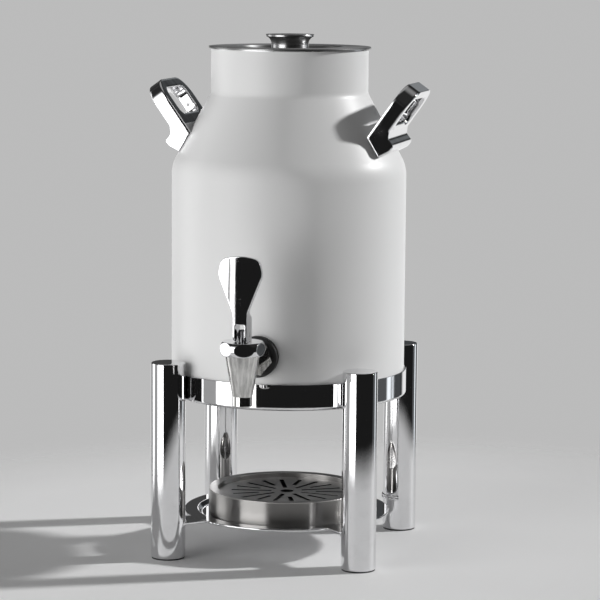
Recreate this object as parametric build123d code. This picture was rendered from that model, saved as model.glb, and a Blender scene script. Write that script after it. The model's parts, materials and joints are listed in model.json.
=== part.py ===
from build123d import *
import math
import os

os.makedirs("parts", exist_ok=True)

# All sizes are in millimetres
# The table is z = 0, the urn's axis is Z and the tap points to -Y
seat_gap = 0.05
running_gap = 0.08
press_gap = 0.02
over_cut = 1.0

# Legs and their glides
leg_diameter = 35.0
leg_height = 200.6
leg_wall = 2.0
leg_cap = 3.0
leg_edge = 1.2
leg_boss_diameter = 13.0
leg_boss_length = 10.0
glide_flange_diameter = 33.4
glide_flange = 1.2
glide_plug = 9.0
glide_edge = 1.0

# Cradle ring
cradle_clearance = 0.5
ring_bottom = 160.0
ring_height = 26.5
ring_wall = 2.0
ring_lip_radius = 3.0
ring_edge = 0.6
ledge_width = 34.0
ledge_thickness = 2.0
ring_screw_diameter = 5.0
ring_screw_head = 8.6
ring_screw_length = 13.0
ring_screw_height = 13.0

# Shelf
shelf_top = 37.0
shelf_thickness = 2.5
shelf_rim = 14.0
shelf_edge = 0.8
dish_margin = 11.5
dish_depth = 4.0
dish_slope = 4.0
dish_bend = 1.5
arm_width = 30.0

# Drip tray and grate
tray_diameter = 162.0
tray_height = 26.0
tray_sheet = 1.2
tray_corner = 2.0
tray_rim_edge = 0.4
tray_rim_fold = 0.7
tray_rim_width = 9.5
tray_recess = 6.0
grate_ledge = 5.0
grate_clearance = 0.5
grate_thickness = 1.5
slot_pairs = 9
slot_width = 4.6
slot_outer = 58.0
slot_inner_long = 16.0
slot_inner_short = 30.0
slot_corner = 0.8
grate_hole_diameter = 14.0

# Urn body
shell_diameter = 240.0
neck_diameter = 160.4
side_height = 232.9
cone_angle = 61.6
neck_height = 44.4
shoulder_radius = 38.0
neck_radius = 12.0
base_corner = 24.0
shell_wall = 1.5
base_opening = 160.0
base_disc_diameter = 184.0
base_disc_thickness = 1.5
wall_gap = 8.0
liner_wall = 1.2
liner_corner = 6.0
spacer_height = 18.0
spacer_diameter = 176.0
spacer_wall = 8.0

# Lid and knob
lid_sheet = 1.5
lid_overhang = 2.6
lid_lip = 2.0
lid_edge = 0.6
lid_lip_edge = 0.2
lid_bend = 1.5
lid_dish_diameter = 106.0
lid_dish_depth = 6.0
lid_dish_slope = 4.0
skirt_clearance = 0.8
skirt_wall = 1.0
skirt_depth = 12.0
knob_base_diameter = 39.6
knob_waist_diameter = 37.6
knob_top_diameter = 49.6
knob_waist_height = 8.0
knob_flare = 16.2
knob_rim = 2.1
knob_edge = 0.8
knob_screw_diameter = 5.0
knob_screw_head = 10.0
knob_screw_head_height = 3.0
knob_screw_reach = 12.0
knob_washer_diameter = 18.0
knob_washer_thickness = 1.0

# Handles
handle_seat_rise = 26.1
handle_offset = 8.7
handle_tilt = 54.5
handle_length = 62.3
handle_width = 95.0
handle_thickness = 15.3
handle_arm = 15.5
handle_bar = 11.0
handle_corner = 25.0
handle_edge = 1.5
finger_gap_start = 20.5
finger_corner = 9.0
finger_round = 4.0
heel_start = 15.5
heel_notch = 9.0
heel_notch_depth = 3.2
heel_hollow = 5.0
heel_out = 6.2
heel_back = -1.0
heel_drop = 12.5
heel_end = 5.0
heel_tip = 4.0
heel_round = 10.0
handle_screw_spread = 27.0
handle_screw_diameter = 5.0
handle_screw_head = 9.0
handle_screw_head_height = 3.5
handle_screw_reach = 9.0
handle_screw_stand_off = 0.2

# Tap body
tap_reach = 59.0
tap_height = 52.0
spout_drop = 40.0
spout_tip_diameter = 19.8
spout_tip_length = 9.8
spout_top_diameter = 34.0
spout_blend = 6.0
spout_rise = 10.0
spout_bore = 13.0
spout_edge = 1.0
seat_drop = 15.0
chamber_diameter = 22.0
inlet_boss_diameter = 19.4
inlet_bore = 13.0
collar_flats = 31.0
collar_length = 8.0
collar_turn = 10.0
washer_diameter = 41.2
washer_thickness = 6.0
washer_edge = 1.2
shank_diameter = 22.0
shank_length = 33.0
shank_hole_clearance = 0.5
sleeve_wall = 4.0
seal_wall = 5.0
seal_thickness = 4.5
lock_nut_flats = 30.0
lock_nut_length = 8.0

# Bonnet, valve stem and lever
bonnet_diameter = 44.2
bonnet_end_diameter = 39.0
bonnet_height = 13.6
bonnet_flats = 39.7
bonnet_turn = 19.0
bonnet_skirt = 4.0
bonnet_roof = 6.6
spring_pocket = 16.0
stem_diameter = 7.0
stem_collar_diameter = 14.4
stem_collar = 1.5
stem_head_diameter = 8.4
stem_head_below = 5.0
stem_head_above = 5.0
stem_head_edge = 2.0
seat_cup_diameter = 19.0
seat_cup_height = 9.5
seat_cup_edge = 1.0
stem_in_cup = 7.5
spring_diameter = 11.2
spring_wire = 1.2
spring_turns = 6
pin_height = 6.4
pin_diameter = 3.5
pin_inset = 0.1
foot_clearance = 0.3
cam_lift = 4.0
cam_span = 48.0
hub_width = 13.8
hub_front = 11.6
hub_back = 9.0
hub_back_height = 16.5
hub_slope = 7.0
hub_blend = 6.0
hub_edge = 2.0
fork_slot = 9.9
fork_top = 11.0
fork_corner = 1.8
paddle_foot = 21.0
paddle_wide = 59.5
paddle_top = 77.2
paddle_arch = 3.2
paddle_width = 44.6
paddle_top_width = 37.2
paddle_thickness = 7.6
paddle_taper = 1.8
paddle_crown = 600.0
paddle_flare = 18.0
paddle_waist = 25.0
paddle_corner = 9.0
paddle_edge = 0.8

# Places that follow from the sizes
shell_r = shell_diameter / 2
neck_r = neck_diameter / 2
leg_r = leg_diameter / 2
urn_z = ring_bottom + ledge_thickness
shoulder_z = urn_z + side_height
cone_turn = 90.0 - cone_angle
neck_z = shoulder_z + (shell_r - neck_r) * math.tan(math.radians(cone_angle))
neck_top = neck_z + neck_height
ring_in = shell_r + cradle_clearance
ring_out = ring_in + ring_wall
leg_circle = ring_out + seat_gap + leg_r
leg_angles = {"front_left": 225, "front_right": 315, "back_left": 135, "back_right": 45}
liner_inset = shell_wall + wall_gap
liner_z = urn_z + shell_wall + base_disc_thickness + spacer_height
liner_mouth = neck_r - liner_inset - liner_wall
lid_z = neck_top + liner_wall
lid_top = lid_z + lid_sheet
tap_y = -shell_r - tap_reach
tap_z = urn_z + tap_height
spout_z = tap_z - spout_drop
bonnet_z = tap_z + spout_rise
bonnet_top = bonnet_z + bonnet_height
seat_z = tap_z - seat_drop
pin_z = bonnet_top + pin_height


def rod(radius, z0, z1):
    return Pos(0, 0, z0) * Cylinder(radius, z1 - z0, align=(Align.CENTER, Align.CENTER, Align.MIN))


def tube(outer, inner, z0, z1):
    return rod(outer, z0, z1) - rod(inner, z0 - over_cut, z1 + over_cut)


def lay_y(shape):
    return Pos(0, 0, tap_z) * Rot(-90, 0, 0) * shape


def hexagon(flats, z0, z1, turn):
    face = RegularPolygon(flats / 2, 6, major_radius=False, rotation=turn)
    return extrude(Pos(0, 0, z0) * face, z1 - z0)


def spin(points, radii):
    profile = FilletPolyline(*[(r, 0, z) for r, z in points], radius=radii, close=True)
    return revolve(make_face(profile), Axis.Z)


def can_solid(inset, bottom, top, corner):
    drop = inset * math.tan(math.radians(cone_turn / 2))
    points = [
        (0, bottom),
        (shell_r - inset, bottom),
        (shell_r - inset, shoulder_z - drop),
        (neck_r - inset, neck_z - drop),
        (neck_r - inset, top),
        (0, top),
    ]
    return spin(points, [0, corner, shoulder_radius - inset, neck_radius + inset, 0, 0])


def slices(shape, names, heights):
    limits = [0, *heights, 2 * neck_top]
    spans = zip(names, limits, limits[1:])
    return {name: shape & rod(shell_diameter, z0, z1) for name, z0, z1 in spans}


def countersunk(radius, head, length):
    depth = head - radius
    outline = Polyline((0, 0, 0), (head, 0, 0), (radius, 0, depth), (0, 0, depth), close=True)
    return revolve(make_face(outline), Axis.Z) + rod(radius, 0, length)


def headed(radius, head, head_height, length):
    return rod(radius, 0, length) + rod(head, -head_height, 0)


nodes = {}

# Legs with a screw boss inside, foot glides and ring screws
screw_z = ring_bottom + ring_screw_height
leg_tube = rod(leg_r, glide_flange, leg_height) - rod(leg_r - leg_wall, 0, leg_height - leg_cap)
outer_edges = leg_tube.edges().filter_by(GeomType.CIRCLE).filter_by(lambda e: e.radius > leg_r - leg_wall / 2)
leg_tube = fillet(outer_edges, leg_edge)
boss = Pos(-leg_r + leg_wall / 2, 0, screw_z) * Rot(0, 90, 0) * rod(leg_boss_diameter / 2, 0, leg_boss_length)
screw_at = Pos(ring_in, 0, screw_z) * Rot(0, 90, 0)
screw_hole = screw_at * rod(ring_screw_diameter / 2 + seat_gap, 0, ring_screw_length + over_cut)
leg = Pos(leg_circle, 0, 0) * (leg_tube + boss) - screw_hole
glide = rod(glide_flange_diameter / 2, 0, glide_flange)
glide += rod(leg_r - leg_wall - seat_gap, glide_flange, glide_flange + glide_plug)
glide = chamfer(glide.edges().group_by(Axis.Z)[-1], glide_edge)
ring_screw = screw_at * countersunk(ring_screw_diameter / 2, ring_screw_head / 2, ring_screw_length)
for name, angle in leg_angles.items():
    nodes["leg_" + name] = Rot(0, 0, angle) * leg
nodes["foot_glides"] = [Rot(0, 0, a) * Pos(leg_circle, 0, 0) * glide for a in leg_angles.values()]
nodes["ring_screws"] = [Rot(0, 0, a) * ring_screw for a in leg_angles.values()]

# Cradle ring with its inner ledge
ledge_in = ring_in - ledge_width
ring_top = ring_bottom + ring_height
cradle_ring = spin(
    [
        (ledge_in, ring_bottom),
        (ring_out, ring_bottom),
        (ring_out, ring_top),
        (ring_in, ring_top),
        (ring_in, urn_z),
        (ledge_in, urn_z),
    ],
    [ring_edge, ring_lip_radius, ring_edge, ring_edge, ring_edge, ring_edge],
)
sink = screw_at * countersunk(
    ring_screw_diameter / 2 + seat_gap, ring_screw_head / 2 + seat_gap, ring_wall + ring_screw_head
)
for angle in leg_angles.values():
    cradle_ring -= Rot(0, 0, angle) * sink
nodes["cradle_ring"] = cradle_ring

# Shelf plate with a shallow dish and four arms to the legs
dish_floor = shelf_top - dish_depth
dish_r = tray_diameter / 2 + dish_margin
shelf_r = dish_r + shelf_rim
shelf = spin(
    [
        (0, dish_floor - shelf_thickness),
        (dish_r - dish_slope, dish_floor - shelf_thickness),
        (dish_r, shelf_top - shelf_thickness),
        (shelf_r, shelf_top - shelf_thickness),
        (shelf_r, shelf_top),
        (dish_r, shelf_top),
        (dish_r - dish_slope, dish_floor),
        (0, dish_floor),
    ],
    [0, dish_bend, dish_bend, shelf_edge, shelf_edge, dish_bend, dish_bend, 0],
)
arm_start = (dish_r + shelf_r) / 2
arm = Pos(arm_start, 0, shelf_top) * Box(
    leg_circle - arm_start, arm_width, shelf_thickness, align=(Align.MIN, Align.CENTER, Align.MAX)
)
leg_clear = Pos(leg_circle, 0, 0) * rod(leg_r + seat_gap, 0, leg_height)
for angle in leg_angles.values():
    shelf = shelf + Rot(0, 0, angle) * (arm - leg_clear)
nodes["shelf_plate"] = shelf

# Drip tray cup, its rim with a recessed ledge, and the slotted grate
tray_r = tray_diameter / 2
tray_top = dish_floor + tray_height
cup_top = tray_top - tray_sheet
tray_cup = spin(
    [
        (0, dish_floor),
        (tray_r, dish_floor),
        (tray_r, cup_top),
        (tray_r - tray_sheet, cup_top),
        (tray_r - tray_sheet, dish_floor + tray_sheet),
        (0, dish_floor + tray_sheet),
    ],
    [0, tray_corner, 0, 0, tray_corner - tray_sheet, 0],
)
nodes.update(slices(tray_cup, ["tray_floor", "drip_tray"], [dish_floor + tray_corner]))
recess_r = tray_r - tray_rim_width
ledge_z = tray_top - tray_recess
nodes["tray_rim"] = spin(
    [
        (tray_r, cup_top),
        (tray_r, tray_top),
        (recess_r, tray_top),
        (recess_r, ledge_z),
        (recess_r - grate_ledge, ledge_z),
        (recess_r - grate_ledge, ledge_z - tray_sheet),
        (recess_r + tray_sheet, ledge_z - tray_sheet),
        (recess_r + tray_sheet, cup_top),
    ],
    [0, tray_rim_edge, tray_rim_fold, *[tray_rim_edge] * 3, tray_rim_fold, tray_rim_edge],
)
grate = rod(recess_r - grate_clearance, ledge_z, ledge_z + grate_thickness)
grate -= rod(grate_hole_diameter / 2, ledge_z - over_cut, ledge_z + grate_thickness + over_cut)
for k in range(2 * slot_pairs):
    inner = slot_inner_long if k % 2 else slot_inner_short
    slot = RectangleRounded(slot_outer - inner, slot_width, slot_corner)
    cutter = extrude(Pos((inner + slot_outer) / 2, 0, ledge_z) * slot, 2 * grate_thickness, both=True)
    grate -= Rot(0, 0, 90 + k * 180 / slot_pairs) * cutter
nodes["drip_grate"] = grate

# Outer shell, base disc, liner spacer and the liner that holds the drink
shell = can_solid(0, urn_z, neck_top, base_corner)
shell -= can_solid(shell_wall, urn_z + shell_wall, neck_top + over_cut, base_corner - shell_wall)
shell -= rod(base_opening / 2, urn_z - over_cut, urn_z + 2 * shell_wall)
disc_z = urn_z + shell_wall
nodes["base_disc"] = rod(base_disc_diameter / 2, disc_z, disc_z + base_disc_thickness)
spacer_r = spacer_diameter / 2
nodes["liner_spacer"] = tube(spacer_r, spacer_r - spacer_wall, disc_z + base_disc_thickness, liner_z)
cavity_inset = liner_inset + liner_wall
liner = can_solid(liner_inset, liner_z, neck_top + liner_wall, liner_corner)
liner += rod(neck_r, neck_top, neck_top + liner_wall)
liner -= can_solid(cavity_inset, liner_z + liner_wall, 2 * neck_top, liner_corner - liner_wall)
shank_hole = lay_y(rod(shank_diameter / 2 + shank_hole_clearance, -shell_diameter, -shell_r / 2))
shell -= shank_hole
liner -= shank_hole

# Loop handle cast with a heel that is saddled on the cone, and its two screws
seat_z_cone = shoulder_z + handle_seat_rise
seat_r_cone = shell_r - handle_seat_rise / math.tan(math.radians(cone_angle))
tilt = math.radians(handle_tilt)
handle_plane = Plane(
    origin=(
        seat_r_cone - handle_offset * math.sin(tilt),
        0,
        seat_z_cone + handle_offset * math.cos(tilt),
    ),
    x_dir=(math.cos(tilt), 0, math.sin(tilt)),
    z_dir=(-math.sin(tilt), 0, math.cos(tilt)),
)
half = handle_width / 2
root = -handle_thickness
loop = FilletPolyline(
    (root, -half),
    (handle_length, -half),
    (handle_length, half),
    (root, half),
    radius=[0, handle_corner, handle_corner, 0],
    close=True,
)
gap_end = handle_length - handle_bar
gap = Pos((finger_gap_start + gap_end) / 2, 0) * RectangleRounded(
    gap_end - finger_gap_start, handle_width - 2 * handle_arm, finger_corner
)
frame = extrude(make_face(loop) - gap, handle_thickness / 2, both=True)
frame = fillet(frame.faces().sort_by(Axis.Z)[0].inner_wires()[0].edges(), finger_round)
wide_faces = frame.faces().filter_by(GeomType.PLANE).sort_by(Axis.Z)
frame = fillet(wide_faces[0].outer_wire().edges() + wide_faces[-1].edges(), handle_edge)
face_n = -handle_thickness / 2
heel_low = face_n - heel_drop
heel_lines = FilletPolyline(
    (heel_start, half, face_n),
    (heel_notch, half, face_n - heel_notch_depth),
    (heel_out, half, heel_low),
    (heel_back, half, heel_low),
    (root, half, face_n - heel_end),
    (root, half, 0),
    (heel_start, half, 0),
    radius=[0, heel_hollow, heel_tip, heel_round, 0, 0, 0],
    close=True,
)
heel = extrude(make_face(heel_lines), handle_width, dir=(0, -1, 0))
heel_ends = heel.faces().sort_by(Axis.Y)
heel_edges = (heel_ends[0].edges() + heel_ends[-1].edges()).filter_by(lambda e: e.center().Z < face_n)
heel = fillet(heel_edges, handle_edge)
handle = handle_plane.location * (frame + heel)
handle -= can_solid(-seat_gap, urn_z, neck_top, base_corner)
screw_turn = math.degrees(math.asin(handle_screw_spread / seat_r_cone))
screw_length = shell_wall + handle_screw_reach
handle_screw = headed(
    handle_screw_diameter / 2, handle_screw_head / 2, handle_screw_head_height, screw_length
)
screw_drill = rod(handle_screw_diameter / 2 + seat_gap, -over_cut, screw_length + over_cut)
screw_places = [
    Rot(0, 0, side + turn)
    * Pos(seat_r_cone, 0, seat_z_cone)
    * Rot(0, cone_angle, 0)
    * Pos(0, 0, -shell_wall - handle_screw_stand_off)
    for side in (0, 180)
    for turn in (-screw_turn, screw_turn)
]
for place in screw_places:
    shell -= place * screw_drill
for place in screw_places[:2]:
    handle -= place * screw_drill
half_turn = math.tan(math.radians(cone_turn / 2))
shoulder_cut = shoulder_z - shoulder_radius * half_turn
neck_cut = neck_z + neck_radius * half_turn
shell_names = ["shell_base", "outer_shell", "shell_shoulder", "shell_neck"]
nodes.update(slices(shell, shell_names, [urn_z + base_corner, shoulder_cut, neck_cut]))
liner_names = ["liner_bottom", "inner_liner", "liner_shoulder", "liner_neck"]
nodes.update(slices(liner, liner_names, [liner_z + liner_corner, shoulder_cut, neck_cut]))
nodes["handle_right"] = handle
nodes["handle_left"] = mirror(handle, about=Plane.YZ)
nodes["handle_screws"] = [place * handle_screw for place in screw_places]

# Lid pan with a recessed middle, its locating skirt, the knob and its screw
lid_r = neck_r + lid_overhang
dish_z = lid_top - lid_dish_depth
lid_dish_r = lid_dish_diameter / 2
lid = spin(
    [
        (0, dish_z - lid_sheet),
        (lid_dish_r - lid_dish_slope, dish_z - lid_sheet),
        (lid_dish_r, lid_z),
        (lid_r - lid_sheet, lid_z),
        (lid_r - lid_sheet, lid_top - lid_lip),
        (lid_r, lid_top - lid_lip),
        (lid_r, lid_top),
        (lid_dish_r, lid_top),
        (lid_dish_r - lid_dish_slope, dish_z),
        (0, dish_z),
    ],
    [0, lid_bend, lid_bend, 0, lid_lip_edge, lid_lip_edge, lid_edge, lid_bend, lid_bend, 0],
)
screw_r = knob_screw_diameter / 2
lid -= rod(screw_r + running_gap, dish_z - lid_dish_depth, lid_top)
nodes["lid_pan"] = lid
skirt_r = liner_mouth - skirt_clearance
nodes["lid_skirt"] = tube(skirt_r, skirt_r - skirt_wall, lid_z - skirt_depth, lid_z)
knob_r = knob_top_diameter / 2
knob_top = dish_z + knob_flare + knob_rim
knob_waist = (knob_waist_diameter / 2, 0, dish_z + knob_waist_height)
knob_brim = (knob_r, 0, dish_z + knob_flare)
knob_lines = (
    Polyline((0, 0, dish_z), (knob_base_diameter / 2, 0, dish_z), knob_waist)
    + TangentArc(knob_waist, knob_brim, tangent=(0, 0, 1))
    + Polyline(knob_brim, (knob_r, 0, knob_top), (0, 0, knob_top), (0, 0, dish_z))
)
knob = revolve(make_face(knob_lines), Axis.Z)
knob = fillet(knob.edges().group_by(Axis.Z)[-1], knob_edge)
knob -= rod(screw_r + seat_gap, dish_z - over_cut, dish_z + knob_screw_reach + over_cut)
nodes["lid_knob"] = knob
under_lid = dish_z - lid_sheet
nodes["knob_washer"] = tube(
    knob_washer_diameter / 2, screw_r + running_gap, under_lid - knob_washer_thickness, under_lid
)
nodes["knob_screw"] = Pos(0, 0, under_lid - knob_washer_thickness) * headed(
    screw_r, knob_screw_head / 2, knob_screw_head_height, knob_washer_thickness + lid_sheet + knob_screw_reach
)

# Tap: cone-shaped spout, body with inlet boss and hex collar, and threaded shank
at_tap = Pos(0, tap_y, 0)
washer_y = -shell_r - washer_thickness
shank_end = washer_y + shank_length
spout = spin(
    [
        (0, spout_z),
        (spout_tip_diameter / 2, spout_z),
        (spout_tip_diameter / 2, spout_z + spout_tip_length),
        (spout_top_diameter / 2, bonnet_z),
        (0, bonnet_z),
    ],
    [0, spout_edge, spout_blend, 0, 0],
)
spout -= rod(spout_bore / 2, spout_z - over_cut, seat_z + over_cut)
cone = slices(spout, ["low", "high"], [seat_z])
nodes["tap_spout"] = at_tap * cone["low"]
tap = at_tap * cone["high"] + lay_y(rod(inlet_boss_diameter / 2, tap_y, washer_y))
tap += lay_y(hexagon(collar_flats, washer_y - collar_length, washer_y, collar_turn))
tap -= at_tap * rod(chamber_diameter / 2, seat_z - over_cut, bonnet_z + over_cut)
tap -= lay_y(rod(inlet_bore / 2, tap_y, shank_end))
nodes["tap_body"] = tap
nodes["tap_shank"] = lay_y(tube(shank_diameter / 2, inlet_bore / 2, washer_y, shank_end))

# Washer, sleeve, seal and lock nut along the tap shank
hole_r = shank_diameter / 2 + seat_gap
washer = lay_y(tube(washer_diameter / 2, hole_r, washer_y, -shell_r * 0.9))
washer = fillet(washer.faces().sort_by(Axis.Y)[0].outer_wire().edges(), washer_edge)
nodes["tap_washer"] = washer - can_solid(-seat_gap, urn_z, neck_top, base_corner)
sleeve = lay_y(tube(hole_r + sleeve_wall, hole_r, -shell_r, -shell_r * 0.8))
sleeve = sleeve & can_solid(shell_wall + seat_gap, disc_z, neck_top, base_corner - shell_wall)
nodes["wall_sleeve"] = sleeve - can_solid(liner_inset - seat_gap, liner_z, neck_top, liner_corner)
seal_y = -shell_r + cavity_inset + seal_thickness
seal = lay_y(tube(hole_r + seal_wall, hole_r, -shell_r, seal_y))
inside_liner = can_solid(cavity_inset + seat_gap, liner_z + liner_wall, neck_top, liner_corner - liner_wall)
nodes["inner_seal"] = seal & inside_liner
nut_end = seal_y + lock_nut_length
lock_nut = hexagon(lock_nut_flats, seal_y, nut_end, 0) - rod(hole_r, seal_y - over_cut, nut_end + over_cut)
nodes["lock_nut"] = lay_y(lock_nut)

# Bonnet with six flats and a spring pocket
barrel = revolve(
    make_face(
        Polyline((0, 0, bonnet_top), (0, 0, bonnet_z), (bonnet_end_diameter / 2, 0, bonnet_z))
        + ThreePointArc(
            (bonnet_end_diameter / 2, 0, bonnet_z),
            (bonnet_diameter / 2, 0, bonnet_z + bonnet_height / 2),
            (bonnet_end_diameter / 2, 0, bonnet_top),
        )
        + Line((bonnet_end_diameter / 2, 0, bonnet_top), (0, 0, bonnet_top))
    ),
    Axis.Z,
)
bonnet = barrel & hexagon(bonnet_flats, bonnet_z, bonnet_top, bonnet_turn)
bonnet += rod(chamber_diameter / 2 - seat_gap, bonnet_z - bonnet_skirt, bonnet_z)
bonnet -= rod(spring_pocket / 2, bonnet_z - bonnet_skirt - over_cut, bonnet_top - bonnet_roof)
bonnet -= rod(stem_diameter / 2 + running_gap, bonnet_z, bonnet_top + over_cut)
nodes["bonnet"] = at_tap * bonnet

# Seat cup, valve stem and return spring
cup_z = seat_z + 2 * seat_gap
cup_top_z = cup_z + seat_cup_height
stem_low = cup_top_z - stem_in_cup
seat_cup = chamfer(rod(seat_cup_diameter / 2, cup_z, cup_top_z).edges().group_by(Axis.Z)[0], seat_cup_edge)
seat_cup -= rod(stem_diameter / 2 + seat_gap, stem_low - seat_gap, cup_top_z + over_cut)
nodes["seat_cup"] = at_tap * seat_cup
stem = rod(stem_diameter / 2, stem_low, pin_z)
stem += rod(stem_collar_diameter / 2, cup_top_z, cup_top_z + stem_collar)
stem_head = rod(stem_head_diameter / 2, pin_z - stem_head_below, pin_z + stem_head_above)
stem += fillet(stem_head.edges().group_by(Axis.Z)[-1], stem_head_edge)
pin_lay = Pos(0, 0, pin_z) * Rot(0, 90, 0)
stem -= pin_lay * rod(pin_diameter / 2 + running_gap, -hub_width, hub_width)
nodes["stem"] = at_tap * stem


def helix_point(radius, z, rise, turns):
    a = 2 * math.pi * turns
    point = Vector(radius * math.cos(a), radius * math.sin(a), z + rise * turns)
    tangent = Vector(-radius * math.sin(a), radius * math.cos(a), rise / (2 * math.pi)).normalized()
    return point, tangent


def biarc(p0, t0, p1, t1):
    v = p1 - p0
    vt = v.dot(t0 + t1)
    spread = 1 - t0.dot(t1)
    d = (math.sqrt(vt * vt + 2 * spread * v.dot(v)) - vt) / (2 * spread)
    middle = (p0 + t0 * d + p1 - t1 * d) / 2
    return [TangentArc(p0, middle, tangent=t0), TangentArc(middle, p1, tangent=p1 - t1 * d - middle)]


spring_z0 = cup_top_z + stem_collar + spring_wire / 2 + seat_gap
spring_z1 = bonnet_top - bonnet_roof - spring_wire / 2 - seat_gap
spring_rise = (spring_z1 - spring_z0) / spring_turns
coil_r = spring_diameter / 2
arcs = []
for k in range(4 * spring_turns):
    start = helix_point(coil_r, spring_z0, spring_rise, k / 4)
    end = helix_point(coil_r, spring_z0, spring_rise, (k + 1) / 4)
    arcs += biarc(*start, *end)
spring_start, spring_dir = helix_point(coil_r, spring_z0, spring_rise, 0)
wire_face = Plane(origin=spring_start, z_dir=spring_dir) * Circle(spring_wire / 2)
nodes["valve_spring"] = at_tap * sweep(wire_face, path=Wire(arcs))

# Lever: paddle, slotted hub and cam foot, with its pin
foot_z = foot_clearance - pin_height


def cam_point(turn):
    h = -foot_z + cam_lift * turn
    y = -h * math.sin(turn) - cam_lift * math.cos(turn)
    z = -h * math.cos(turn) + cam_lift * math.sin(turn)
    return (0, y, z)


cam_end = math.radians(cam_span)
cam_low = ThreePointArc(cam_point(0), cam_point(cam_end / 4), cam_point(cam_end / 2))
cam_high = ThreePointArc(cam_point(cam_end / 2), cam_point(cam_end * 3 / 4), cam_point(cam_end))
front = -hub_front
paddle_back = front + paddle_thickness
outside = front - over_cut
cam_tip = cam_point(cam_end)
side_lines = FilletPolyline(
    cam_tip,
    (0, outside, cam_tip[2] + (cam_tip[1] - outside) * math.tan(cam_end)),
    (0, outside, paddle_top + over_cut),
    (0, paddle_back - paddle_taper, paddle_top + over_cut),
    (0, paddle_back, hub_back_height + hub_slope),
    (0, hub_back, hub_back_height),
    (0, hub_back, foot_z),
    cam_point(0),
    radius=[0, 0, 0, hub_blend, hub_edge, 0],
)
side = extrude(make_face(side_lines + cam_low + cam_high), paddle_width, both=True, dir=(1, 0, 0))
hub_x = hub_width / 2
wide_x = paddle_width / 2
corner_x = paddle_top_width / 2
corner_z = paddle_top - paddle_arch
low_z = -2 * pin_height
edge_lines = FilletPolyline(
    (-corner_x, 0, corner_z),
    (-wide_x, 0, paddle_wide),
    (-hub_x, 0, paddle_foot),
    (-hub_x, 0, low_z),
    (hub_x, 0, low_z),
    (hub_x, 0, paddle_foot),
    (wide_x, 0, paddle_wide),
    (corner_x, 0, corner_z),
    radius=[paddle_flare, paddle_waist, 0, 0, paddle_waist, paddle_flare],
)
crown = ThreePointArc((-corner_x, 0, corner_z), (0, 0, paddle_top), (corner_x, 0, corner_z))
outline = make_face(edge_lines + crown)
outline = fillet(outline.vertices().group_by(SortBy.DISTANCE)[-1], paddle_corner)
lever = side & extrude(outline, 3 * hub_front, both=True, dir=(0, 1, 0))
lever &= Pos(0, front + paddle_crown, 0) * rod(paddle_crown, low_z, 2 * paddle_top)
paddle_low = hub_back_height + hub_slope + hub_blend
paddle_edges = lever.edges().filter_by(lambda e: e.center().Z > paddle_low)
lever = fillet(paddle_edges.filter_by(Axis.Y, reverse=True), paddle_edge)
slot_r = fork_slot / 2
fork = FilletPolyline(
    (-slot_r, 0, low_z),
    (-slot_r, 0, fork_top),
    (slot_r, 0, fork_top),
    (slot_r, 0, low_z),
    radius=[0, fork_corner, fork_corner, 0],
    close=True,
)
lever -= extrude(make_face(fork), 3 * hub_front, both=True, dir=(0, 1, 0))
at_pin = Pos(0, tap_y, pin_z)
pin_x = Rot(0, 90, 0)
lever -= pin_x * rod(pin_diameter / 2 + press_gap, -hub_width, hub_width)
nodes["lever"] = at_pin * lever
nodes["lever_pin"] = at_pin * pin_x * rod(pin_diameter / 2, -hub_x + pin_inset, hub_x - pin_inset)

for name, shape in nodes.items():
    if isinstance(shape, list):
        shape = Compound(children=[s.solid() for s in shape])
    export_step(shape, f"parts/{name}.step")
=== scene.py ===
import json
import math

import bpy
from mathutils import Matrix, Vector


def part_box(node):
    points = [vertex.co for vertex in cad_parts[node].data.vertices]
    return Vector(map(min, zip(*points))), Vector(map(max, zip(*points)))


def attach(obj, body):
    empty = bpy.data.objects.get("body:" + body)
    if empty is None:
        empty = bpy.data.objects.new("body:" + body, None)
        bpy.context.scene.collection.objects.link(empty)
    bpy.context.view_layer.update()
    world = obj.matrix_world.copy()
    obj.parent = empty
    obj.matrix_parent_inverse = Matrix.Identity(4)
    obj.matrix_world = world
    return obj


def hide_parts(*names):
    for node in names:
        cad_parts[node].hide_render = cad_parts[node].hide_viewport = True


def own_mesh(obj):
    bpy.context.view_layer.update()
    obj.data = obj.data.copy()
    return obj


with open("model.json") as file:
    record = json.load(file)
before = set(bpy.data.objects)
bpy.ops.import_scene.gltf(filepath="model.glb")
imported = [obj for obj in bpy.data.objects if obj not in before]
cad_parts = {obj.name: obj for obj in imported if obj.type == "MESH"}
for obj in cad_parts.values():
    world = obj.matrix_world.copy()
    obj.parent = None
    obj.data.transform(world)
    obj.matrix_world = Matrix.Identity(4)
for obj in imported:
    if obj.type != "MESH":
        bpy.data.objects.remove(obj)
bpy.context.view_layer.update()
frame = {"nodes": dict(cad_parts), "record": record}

# Camera at the photograph's viewing angle: place in metres, turns in degrees, lens in mm
camera_place = Vector((0.6462, -2.5600, 0.6077))
camera_heading = 13.903
camera_tilt_down = 7.609
camera_roll = 0.435
camera_lens = 154.95
camera_sensor = 36.0

camera_data = bpy.data.cameras.new("camera")
camera_data.lens = camera_lens
camera_data.sensor_width = camera_sensor
camera = bpy.data.objects.new("camera", camera_data)
bpy.context.scene.collection.objects.link(camera)
camera.matrix_world = (
    Matrix.Translation(camera_place)
    @ Matrix.Rotation(math.radians(camera_heading), 4, "Z")
    @ Matrix.Rotation(math.radians(90.0 - camera_tilt_down), 4, "X")
    @ Matrix.Rotation(math.radians(camera_roll), 4, "Z")
)
bpy.context.scene.camera = camera
bpy.context.scene.view_settings.view_transform = "Standard"


# Small helpers that put shader nodes together
def node_of(tree, kind, **settings):
    made = tree.nodes.new(kind)
    for key, value in settings.items():
        setattr(made, key, value)
    return made


def feed(tree, socket, value):
    if isinstance(value, bpy.types.NodeSocket):
        tree.links.new(value, socket)
    else:
        socket.default_value = value


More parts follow.
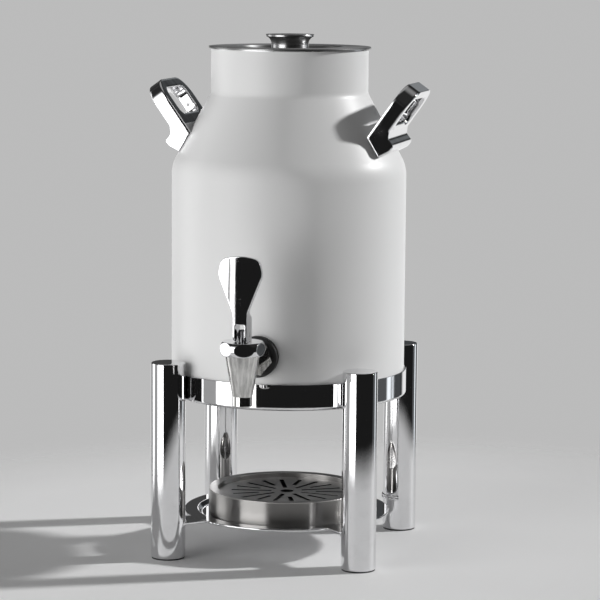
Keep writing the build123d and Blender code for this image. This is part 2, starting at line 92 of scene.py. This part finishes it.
def sums(tree, operation, *values):
    made = node_of(tree, "ShaderNodeMath", operation=operation)
    for socket, value in zip(made.inputs, values):
        feed(tree, socket, value)
    return made.outputs[0]


def spread(tree, value, low, high, to_low=0.0, to_high=1.0, smooth=False):
    made = node_of(tree, "ShaderNodeMapRange")
    made.interpolation_type = "SMOOTHSTEP" if smooth else "LINEAR"
    made.inputs["From Min"].default_value = low
    made.inputs["From Max"].default_value = high
    made.inputs["To Min"].default_value = to_low
    made.inputs["To Max"].default_value = to_high
    feed(tree, made.inputs["Value"], value)
    return made.outputs["Result"]


def grain(tree, vector, scale=1.0, detail=2.0, roughness=0.5):
    made = node_of(tree, "ShaderNodeTexNoise")
    made.inputs["Scale"].default_value = scale
    made.inputs["Detail"].default_value = detail
    made.inputs["Roughness"].default_value = roughness
    tree.links.new(vector, made.inputs["Vector"])
    return made.outputs["Fac"]


def tint(tree, factor, at_low, at_high):
    made = node_of(tree, "ShaderNodeValToRGB")
    made.color_ramp.elements[0].color = (*at_low, 1)
    made.color_ramp.elements[1].color = (*at_high, 1)
    tree.links.new(factor, made.inputs["Fac"])
    return made.outputs["Color"]


def times(tone, share):
    return [value * share for value in tone]


def over(tree, under, share, top):
    made = node_of(tree, "ShaderNodeMix", data_type="RGBA")
    feed(tree, made.inputs["Factor"], share)
    feed(tree, made.inputs["A"], under)
    is_grey = isinstance(top, float)
    feed(tree, made.inputs["B"], (top, top, top, 1) if is_grey else top)
    return made.outputs["Result"]


def relief(tree, height, strength, distance, under=None):
    made = node_of(tree, "ShaderNodeBump")
    made.inputs["Strength"].default_value = strength
    made.inputs["Distance"].default_value = distance
    tree.links.new(height, made.inputs["Height"])
    if under is not None:
        tree.links.new(under, made.inputs["Normal"])
    return made.outputs["Normal"]


def surface(name):
    material = bpy.data.materials.new(name)
    material.use_nodes = True
    tree = material.node_tree
    tree.nodes.clear()
    out = node_of(tree, "ShaderNodeOutputMaterial")
    shader = node_of(tree, "ShaderNodeBsdfPrincipled")
    tree.links.new(shader.outputs["BSDF"], out.inputs["Surface"])
    place = node_of(tree, "ShaderNodeTexCoord").outputs["Object"]
    return material, tree, shader, place


def metal_surface(name):
    material, tree, shader, place = surface(name)
    shader.inputs["Metallic"].default_value = 1.0
    return material, tree, shader, place


def stretched(tree, place, scale=(1, 1, 1), centre=(0, 0, 0)):
    made = node_of(tree, "ShaderNodeMapping", vector_type="TEXTURE")
    made.inputs["Location"].default_value = centre
    made.inputs["Scale"].default_value = [1 / s for s in scale]
    tree.links.new(place, made.inputs["Vector"])
    return made.outputs["Vector"]


def parts_of(tree, place):
    split = node_of(tree, "ShaderNodeSeparateXYZ")
    tree.links.new(place, split.inputs[0])
    return split.outputs


def reach_of(tree, x, y):
    squares = [sums(tree, "MULTIPLY", value, value) for value in (x, y)]
    return sums(tree, "SQRT", sums(tree, "ADD", *squares))


# Place as distance from the upright axis, height, and turn about the axis
def turned(tree, place, line_scale):
    x, y, z = parts_of(tree, place)
    round_about = sums(tree, "ABSOLUTE", sums(tree, "ARCTAN2", y, x))
    joined = node_of(tree, "ShaderNodeCombineXYZ")
    parts = reach_of(tree, x, y), z, round_about
    for socket, part, scale in zip(joined.inputs, parts, line_scale):
        feed(tree, socket, sums(tree, "MULTIPLY", part, scale))
    return joined.outputs[0]


# Finishes of the urn's pieces: scales are per metre, distances and zones on a piece are metres
noise_zone = (0.3, 0.7)
enamel_tones = (0.785, 0.785, 0.782), (0.815, 0.816, 0.815)
enamel_rough = (0.40, 0.46)
enamel_specular = 0.35
enamel_coat = 0.08
enamel_coat_rough = 0.32
chrome_tone = (0.80, 0.80, 0.81)
smudge_zone = (0.50, 0.72)
smudge_share = 0.93
streak_scale = (330, 330, 9)
streak_zone = (0.38, 0.66)
drawn_scale = (70, 70, 2.5)
wave_depth = 0.001
edge_samples = 8
steel_line_share = 0.94
steel_line_zone = (0.25, 0.75)
steel_line_wear = (-0.04, 0.04)
steel_cloud_wear = (-0.015, 0.02)
steel_line_depth = 0.0001
sheen_turn = 0.25
fastener_spot_share = 0.86
fastener_wear = (-0.07, 0.08)
plastic_cloud_shares = (0.82, 1.1)
plastic_wear = (-0.08, 0.08)
# Painted shade: the walls of the grate's slots, below its top face, are coloured near black
grate_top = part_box("drip_grate")[1][2]
slot_painted_shade_zone = (grate_top - 0.0003, grate_top - 0.0001)
slot_painted_shade_grey = 0.03
# Painted shade in the lid's recessed dish and a painted dark reflection on the lid's outer lip
lid_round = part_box("lid_pan")[1][0]
lid_lip_painted_reflection_zone = (lid_round - 0.0007, lid_round - 0.0003)
lid_dish_painted_shade_zone = (0.052, 0.053)
lid_painted_shade_grey = 0.24


def white_enamel(name):
    material, tree, shader, place = surface(name)
    cloud = grain(tree, place, scale=9.0, detail=3.0)
    peel = grain(tree, place, scale=520.0, detail=1.0)
    feed(tree, shader.inputs["Base Color"], tint(tree, cloud, *enamel_tones))
    feed(tree, shader.inputs["Roughness"], spread(tree, cloud, *noise_zone, *enamel_rough))
    feed(tree, shader.inputs["Normal"], relief(tree, peel, strength=0.10, distance=0.00012))
    shader.inputs["Specular IOR Level"].default_value = enamel_specular
    shader.inputs["Coat Weight"].default_value = enamel_coat
    shader.inputs["Coat Roughness"].default_value = enamel_coat_rough
    return material


def polished_chrome(
    name, rough, smear, wave, wave_scale, tone=chrome_tone, drawn=0.0, edge=0.0, streak=0.0
):
    material, tree, shader, place = metal_surface(name)
    smudge = grain(tree, place, scale=42.0, detail=5.0, roughness=0.62)
    smudge = spread(tree, smudge, *smudge_zone, smooth=True)
    feed(tree, shader.inputs["Roughness"], spread(tree, smudge, 0.0, 1.0, rough, rough + smear))
    shade = smudge
    if streak:
        lines = grain(tree, stretched(tree, place, streak_scale), detail=3.0, roughness=0.6)
        shade = sums(tree, "MAXIMUM", smudge, spread(tree, lines, *streak_zone))
    colour = tint(tree, shade, tone, times(tone, smudge_share - streak))
    feed(tree, shader.inputs["Base Color"], colour)
    normal = None
    if edge:
        rounding = node_of(tree, "ShaderNodeBevel", samples=edge_samples)
        rounding.inputs["Radius"].default_value = edge
        normal = rounding.outputs["Normal"]
    fine = grain(tree, place, scale=900.0, detail=2.0)
    normal = relief(tree, fine, strength=0.02, distance=0.00005, under=normal)
    waves = grain(tree, place, wave_scale, detail=1.0)
    normal = relief(tree, waves, wave, wave_depth, normal)
    if drawn:
        lines = grain(tree, stretched(tree, place, drawn_scale), detail=2.0)
        normal = relief(tree, lines, drawn, wave_depth, normal)
    feed(tree, shader.inputs["Normal"], normal)
    return material


# Mask for the painted shade on the slot walls: 1 below the grate's top face, 0 on it
def slot_painted_shade(tree, place):
    height = parts_of(tree, place)["Z"]
    return spread(tree, height, *slot_painted_shade_zone, 1.0, 0.0)


# Mask for the lid's painted shade in the dish and its painted dark reflection on the lip
def lid_painted_shade_and_reflection(tree, place):
    reach = reach_of(tree, *parts_of(tree, place)[:2])
    dish = spread(tree, reach, *lid_dish_painted_shade_zone, 1.0, 0.0)
    lip = spread(tree, reach, *lid_lip_painted_reflection_zone)
    return sums(tree, "MAXIMUM", dish, lip)


# Line scales are across the rings, up the wall and round the axis
def turned_steel(name, tone, rough, line_scale, depth, sheen, painted_shade=None, painted_shade_grey=0.0):
    material, tree, shader, place = metal_surface(name)
    shader.inputs["Anisotropic"].default_value = sheen
    shader.inputs["Anisotropic Rotation"].default_value = sheen_turn
    along = node_of(tree, "ShaderNodeTangent", direction_type="RADIAL", axis="Z")
    tree.links.new(along.outputs["Tangent"], shader.inputs["Tangent"])
    lines = grain(tree, turned(tree, place, line_scale), detail=3.0, roughness=0.65)
    cloud = grain(tree, place, scale=26.0, detail=4.0, roughness=0.6)
    colour = tint(tree, lines, times(tone, steel_line_share), tone)
    # Optional painted shade or painted dark reflection: a mask greys the colour over its zone
    if painted_shade:
        colour = over(tree, colour, painted_shade(tree, place), painted_shade_grey)
    feed(tree, shader.inputs["Base Color"], colour)
    line_wear = spread(tree, lines, *steel_line_zone, *steel_line_wear)
    cloud_wear = spread(tree, cloud, *noise_zone, *steel_cloud_wear)
    wear = sums(tree, "ADD", line_wear, cloud_wear)
    feed(tree, shader.inputs["Roughness"], sums(tree, "ADD", wear, rough))
    feed(tree, shader.inputs["Normal"], relief(tree, lines, depth, steel_line_depth))
    return material


def plain_steel(name, tone, rough):
    material, tree, shader, place = metal_surface(name)
    spots = grain(tree, place, scale=380.0, detail=4.0, roughness=0.6)
    colour = tint(tree, spots, times(tone, fastener_spot_share), tone)
    worn = [rough + change for change in fastener_wear]
    feed(tree, shader.inputs["Base Color"], colour)
    feed(tree, shader.inputs["Roughness"], spread(tree, spots, *noise_zone, *worn))
    feed(tree, shader.inputs["Normal"], relief(tree, spots, strength=0.08, distance=0.0001))
    return material


def soft_plastic(name, tone, rough, grain_scale, depth):
    material, tree, shader, place = surface(name)
    fine = grain(tree, place, grain_scale, detail=3.0, roughness=0.6)
    cloud = grain(tree, place, scale=30.0, detail=3.0)
    colour = tint(tree, cloud, *[times(tone, share) for share in plastic_cloud_shares])
    worn = [rough + change for change in plastic_wear]
    feed(tree, shader.inputs["Base Color"], colour)
    feed(tree, shader.inputs["Roughness"], spread(tree, fine, *noise_zone, *worn))
    feed(tree, shader.inputs["Normal"], relief(tree, fine, depth, distance=0.0002))
    return material


finishes = {
    "white_paint": white_enamel("white_enamel"),
    "legs": polished_chrome(
        "leg_chrome", rough=0.025, smear=0.05, wave=0.012, wave_scale=30.0, drawn=0.4, edge=0.0010
    ),
    "stand_chrome": polished_chrome(
        "stand_chrome", rough=0.035, smear=0.06, wave=0.010, wave_scale=40.0, edge=0.0010
    ),
    "handle_chrome": polished_chrome(
        "cast_chrome", rough=0.035, smear=0.05, wave=0.05, wave_scale=70.0, edge=0.0026
    ),
    "tap_chrome": polished_chrome(
        "tap_chrome", rough=0.015, smear=0.02, wave=0.006, wave_scale=60.0, edge=0.0010
    ),
    "knob_chrome": turned_steel(
        "turned_chrome", (0.44, 0.44, 0.445), rough=0.30,
        line_scale=(2600.0, 2600.0, 3.0), depth=0.04, sheen=0.6,
    ),
    # Lid with painted shade in its dish and a painted dark reflection on its lip
    "lid_steel": turned_steel(
        "spun_lid_steel", (0.58, 0.58, 0.585), rough=0.38,
        line_scale=(1500.0, 1500.0, 4.0), depth=0.03, sheen=0.4,
        painted_shade=lid_painted_shade_and_reflection, painted_shade_grey=lid_painted_shade_grey,
    ),
    "inner_steel": turned_steel(
        "spun_liner_steel", (0.68, 0.68, 0.685), rough=0.28,
        line_scale=(900.0, 900.0, 3.0), depth=0.10, sheen=0.5,
    ),
    "tray_steel": turned_steel(
        "brushed_tray_steel", (0.385, 0.376, 0.366), rough=0.32,
        line_scale=(1900.0, 1900.0, 5.0), depth=0.02, sheen=1.0,
    ),
    "fastener": plain_steel("zinc_steel", (0.60, 0.60, 0.61), rough=0.30),
    "valve_steel": plain_steel("valve_steel", (0.16, 0.16, 0.165), rough=0.24),
    "black_rubber": soft_plastic(
        "black_rubber", (0.010, 0.010, 0.010), rough=0.55, grain_scale=900.0, depth=0.15
    ),
    "glide": soft_plastic(
        "glide_rubber", (0.030, 0.030, 0.030), rough=0.62, grain_scale=700.0, depth=0.25
    ),
    "seal_rubber": soft_plastic(
        "seal_silicone", (0.66, 0.64, 0.60), rough=0.48, grain_scale=800.0, depth=0.10
    ),
    "spacer_plastic": soft_plastic(
        "spacer_plastic", (0.70, 0.69, 0.64), rough=0.55, grain_scale=600.0, depth=0.12
    ),
}
rim_steel = turned_steel(
    "pressed_rim_steel", (0.43, 0.42, 0.41), rough=0.30,
    line_scale=(700.0, 900.0, 4.0), depth=0.03, sheen=0.2,
)
# Grate with painted shade on the walls of its slots
grate_steel = turned_steel(
    "slotted_grate_steel", (0.54, 0.53, 0.52), rough=0.36,
    line_scale=(700.0, 900.0, 4.0), depth=0.03, sheen=0.2,
    painted_shade=slot_painted_shade, painted_shade_grey=slot_painted_shade_grey,
)
cone_chrome = polished_chrome(
    "tap_cone_chrome", rough=0.07, smear=0.06, wave=0.02, wave_scale=140.0,
    tone=(0.76, 0.755, 0.74), streak=0.34,
)
own_finishes = {
    "drip_grate": grate_steel,
    "tray_rim": rim_steel,
    "tap_spout": cone_chrome,
    "tap_body": cone_chrome,
}
for subpart in frame["record"]["subparts"]:
    name = subpart["node"]
    node = frame["nodes"][name]
    node.data.materials.clear()
    node.data.materials.append(own_finishes.get(name, finishes[subpart["material_slot"]]))

# Weld beads above and under the shelf's arms: made at the back right leg, whose arm comes from
# 225 degrees, and copied to the other legs
weld_round = 0.0013
weld_sides = 12
weld_sweep = 112.0
weld_steps = 66
weld_inwards = 225.0
weld_swell = 0.00022
weld_swelling_rings = range(1, weld_steps, 3)
weld_end_taper = 0.0006
weld_end_rings = (0, weld_steps)
arm_thickness = 0.0025


def swell_rings(bead, rings, middle, start, swell):
    bpy.ops.mesh.select_all(action="DESELECT")
    bpy.ops.object.mode_set(mode="OBJECT")
    for point in bead.data.vertices:
        off = point.co - middle
        turn = start - math.degrees(math.atan2(off.y, off.x)) % 360.0
        point.select = round(turn / weld_sweep * weld_steps) in rings
    bpy.ops.object.mode_set(mode="EDIT")
    bpy.ops.transform.shrink_fatten(value=swell)


def weld_bead(name, height):
    low, high = map(Vector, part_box("leg_back_right"))
    leg_middle = Vector(((low.x + high.x) / 2, (low.y + high.y) / 2, height))
    leg_round = (high.x - low.x) / 2
    start = weld_inwards + weld_sweep / 2
    start_turn = math.radians(start)
    outwards = Vector((math.cos(start_turn), math.sin(start_turn), 0))
    bpy.ops.object.select_all(action="DESELECT")
    bpy.ops.mesh.primitive_circle_add(
        vertices=weld_sides,
        radius=weld_round,
        location=leg_middle + outwards * leg_round,
        rotation=(math.pi / 2, 0, start_turn),
    )
    bead = bpy.context.object
    bead.name = bead.data.name = name
    bpy.ops.object.transform_apply(location=True, rotation=True, scale=True)
    bpy.ops.object.mode_set(mode="EDIT")
    bpy.ops.mesh.select_all(action="SELECT")
    bpy.ops.mesh.spin(
        steps=weld_steps, angle=math.radians(weld_sweep), center=leg_middle, axis=(0, 0, 1)
    )
    bpy.ops.mesh.select_all(action="SELECT")
    bpy.ops.mesh.fill_holes(sides=0)
    bpy.ops.mesh.select_all(action="SELECT")
    bpy.ops.mesh.normals_make_consistent(inside=False)
    bpy.ops.mesh.select_mode(type="VERT")
    swell_rings(bead, weld_swelling_rings, leg_middle, start, weld_swell)
    swell_rings(bead, weld_end_rings, leg_middle, start, -weld_end_taper)
    bpy.ops.object.mode_set(mode="OBJECT")
    smooth = bead.modifiers.new("smooth", "SUBSURF")
    smooth.levels = smooth.render_levels = 1
    bpy.ops.object.modifier_apply(modifier=smooth.name)
    bpy.ops.object.shade_smooth()
    bead.data.materials.append(finishes["stand_chrome"])
    return bead


def copy_to_leg(bead, name, quarter_turns):
    twin = bead.copy()
    twin.data = bead.data.copy()
    twin.name = twin.data.name = name
    bpy.context.scene.collection.objects.link(twin)
    bpy.ops.object.select_all(action="DESELECT")
    twin.select_set(True)
    bpy.context.view_layer.objects.active = twin
    twin.rotation_euler.z = quarter_turns * math.pi / 2
    bpy.ops.object.transform_apply(location=True, rotation=True, scale=True)
    return twin


arm_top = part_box("shelf_plate")[1][2]
for side, height in (("top", arm_top), ("under", arm_top - arm_thickness)):
    first = weld_bead(f"weld_{side}_1", height)
    twins = [copy_to_leg(first, f"weld_{side}_{turns + 1}", turns) for turns in (1, 2, 3)]
    for bead in [first] + twins:
        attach(bead, "stand")

# Return spring of the valve, built as a fixed coil; the real spring shortens as the stem lifts
wire_round = 0.0006
wire_sides = 12
spring_turns = 6
spring_steps = 28
spring_low, spring_high = map(Vector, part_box("valve_spring"))
spring_middle = (spring_low + spring_high) / 2


def coil_spring(name):
    extent = spring_high - spring_low
    bpy.ops.object.select_all(action="DESELECT")
    bpy.ops.mesh.primitive_circle_add(
        vertices=wire_sides,
        radius=wire_round,
        location=(extent.x / 2 - wire_round, 0, 0),
        rotation=(math.pi / 2, 0, 0),
    )
    spring = bpy.context.object
    spring.name = spring.data.name = name
    bpy.ops.object.transform_apply(location=True, rotation=True, scale=True)
    coil = spring.modifiers.new("coil", "SCREW")
    coil.iterations = spring_turns
    coil.steps = coil.render_steps = spring_steps
    coil.screw_offset = (extent.z - 2 * wire_round) / spring_turns
    bpy.ops.object.modifier_apply(modifier=coil.name)
    bpy.ops.object.mode_set(mode="EDIT")
    bpy.ops.mesh.select_all(action="SELECT")
    bpy.ops.mesh.fill_holes(sides=0)
    bpy.ops.mesh.select_all(action="SELECT")
    bpy.ops.mesh.normals_make_consistent(inside=False)
    bpy.ops.transform.translate(value=(spring_middle.x, spring_middle.y, spring_low.z + wire_round))
    bpy.ops.object.mode_set(mode="OBJECT")
    bpy.ops.object.shade_smooth()
    spring.data.materials.append(finishes["valve_steel"])
    return spring


spring = coil_spring("return_spring")
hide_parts("valve_spring")
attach(spring, "urn")
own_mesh(spring)

# World: bright and dark studio panels all round, and a plain pale backdrop. Bearings are
# degrees, 0 towards the camera and + to its right. Rises are the upward part of a direction.
studio_panels = [
    (-180, 0.06),
    (-128, 0.06),
    (-122, 2.00),
    (-104, 2.00),
    (-100, 0.60),
    (-93, 0.38),
    (-73, 0.38),
    (-70, 3.45),
    (0, 3.45),
    (60, 0.04),
    (91, 0.04),
    (95, 0.10),
    (111, 0.10),
    (113.5, 1.20),
    (119, 1.20),
    (120.5, 0.08),
    (122, 0.90),
    (124.5, 0.90),
    (126.5, 0.07),
    (140, 0.07),
    (148, 0.02),
    (157, 0.02),
    (161, 0.24),
    (172, 0.24),
    (176, 0.06),
    (180, 0.06),
]
cool_from = 40
cool_tint = (0.94, 0.99, 1.03)
plain_tint = (1, 1, 1)
panel_edge = 0.2
front_panel = (-30.2, 91.0)
front_grey = 0.012
post = (-31.5, -31.0)
post_grey = 0.30
low_rise = (-0.38, -0.30)
low_grey = 0.62
low_front = (-30.2, 62.0)
low_front_edge = 5.0
low_front_grey = 0.22
back_rise = (0.02, 0.09)
back_from = (146.0, 151.0)
back_grey = 0.90
ceiling_rise = (0.30, 0.62)
ceiling_turn = (-1.12, -0.98)
ceiling_front_grey = 0.22
ceiling_grey = 0.025
overhead_rise = (0.82, 0.95)
overhead_lean = 0.30
overhead_grey = 0.34
backdrop_grey = 0.50

world = bpy.data.worlds.new("studio")
bpy.context.scene.world = world
world.use_nodes = True
sky = world.node_tree
sky.nodes.clear()
look = node_of(sky, "ShaderNodeMapping", vector_type="TEXTURE")
look.inputs["Rotation"].default_value = (0, 0, math.radians(camera_heading))
sky.links.new(node_of(sky, "ShaderNodeTexCoord").outputs["Generated"], look.inputs["Vector"])
rightwards, backwards, rise = parts_of(sky, look.outputs["Vector"])
bearing = sums(sky, "ARCTAN2", rightwards, sums(sky, "MULTIPLY", backwards, -1.0))
panels = node_of(sky, "ShaderNodeValToRGB")
sky.links.new(spread(sky, bearing, -math.pi, math.pi), panels.inputs["Fac"])
stops = panels.color_ramp.elements
stops[0].position = 0.0
stops[1].position = 1.0
for angle, _ in studio_panels[1:-1]:
    stops.new(angle / 360.0 + 0.5)
for stop, (angle, grey) in zip(stops, studio_panels):
    stop.color = times(cool_tint if angle > cool_from else plain_tint, grey) + [1]


def between(bearings, edge):
    low, high, soft = map(math.radians, (*bearings, edge))
    half = (high - low) / 2
    off_middle = sums(sky, "ABSOLUTE", sums(sky, "SUBTRACT", bearing, (low + high) / 2))
    return spread(sky, off_middle, half - soft, half + soft, 1.0, 0.0)


walls = over(sky, panels.outputs["Color"], between(front_panel, panel_edge), front_grey)
walls = over(sky, walls, between(post, panel_edge), post_grey)
in_front = between(low_front, low_front_edge)
low_walls = spread(sky, in_front, 0.0, 1.0, low_grey, low_front_grey)
walls = over(sky, walls, spread(sky, rise, *low_rise, 1.0, 0.0), low_walls)
behind = spread(sky, sums(sky, "ABSOLUTE", bearing), *map(math.radians, back_from))
low_back = sums(sky, "MULTIPLY", behind, spread(sky, rise, *back_rise, 1.0, 0.0))
walls = over(sky, walls, low_back, back_grey)
turn_to_back = sums(sky, "ADD", rightwards, backwards)
ceiling = spread(sky, turn_to_back, *ceiling_turn, ceiling_front_grey, ceiling_grey)
walls = over(sky, walls, spread(sky, rise, *ceiling_rise, smooth=True), ceiling)
leaning_rise = sums(sky, "ADD", rise, sums(sky, "MULTIPLY", backwards, overhead_lean))
walls = over(sky, walls, spread(sky, leaning_rise, *overhead_rise, smooth=True), overhead_grey)
seen = node_of(sky, "ShaderNodeLightPath").outputs["Is Camera Ray"]
walls = over(sky, walls, seen, backdrop_grey)
glow = node_of(sky, "ShaderNodeBackground")
sky.links.new(walls, glow.inputs["Color"])
world_out = node_of(sky, "ShaderNodeOutputWorld")
sky.links.new(glow.outputs["Background"], world_out.inputs["Surface"])

# Key lamp from the right and a little behind
key_azimuth = 102.0
key_elevation = 26.0
key_strength = 2.95
key_spread = 3.5

key_data = bpy.data.lights.new("key", "SUN")
key_data.energy = key_strength
key_data.angle = math.radians(key_spread)
key = bpy.data.objects.new("key", key_data)
bpy.context.scene.collection.objects.link(key)
key_turn = math.radians(key_azimuth + camera_heading)
key_rise = math.radians(key_elevation)
towards_key = Vector((
    math.sin(key_turn) * math.cos(key_rise),
    -math.cos(key_turn) * math.cos(key_rise),
    math.sin(key_rise),
))
key.rotation_mode = "QUATERNION"
key.rotation_quaternion = towards_key.to_track_quat("Z", "Y")

# Plain pale floor that fades into the backdrop
floor_grey = 0.88
floor_rough = 0.75
floor_specular = 0.2
floor_middle = (0.08, -0.05, 0.0)
floor_fade = (0.44, 0.74)
floor_margin = 0.05
floor_sides = 96

bpy.ops.object.select_all(action="DESELECT")
bpy.ops.mesh.primitive_circle_add(
    vertices=floor_sides,
    radius=floor_fade[1] + floor_margin,
    fill_type="NGON",
    location=floor_middle,
)
floor = bpy.context.object
floor.name = "floor"
bpy.ops.object.transform_apply(location=True, rotation=True, scale=True)
floor_material, tree, shader, place = surface("pale_floor")
shader.inputs["Roughness"].default_value = floor_rough
shader.inputs["Specular IOR Level"].default_value = floor_specular
shader.inputs["Base Color"].default_value = (floor_grey, floor_grey, floor_grey, 1)
distance = node_of(tree, "ShaderNodeVectorMath", operation="LENGTH")
tree.links.new(stretched(tree, place, centre=floor_middle), distance.inputs[0])
faded = spread(tree, distance.outputs["Value"], *floor_fade, smooth=True)
fade = node_of(tree, "ShaderNodeMixShader")
clear = node_of(tree, "ShaderNodeBsdfTransparent")
tree.links.new(faded, fade.inputs["Fac"])
tree.links.new(shader.outputs["BSDF"], fade.inputs[1])
tree.links.new(clear.outputs["BSDF"], fade.inputs[2])
tree.links.new(fade.outputs["Shader"], tree.nodes["Material Output"].inputs["Surface"])
floor.data.materials.append(floor_material)
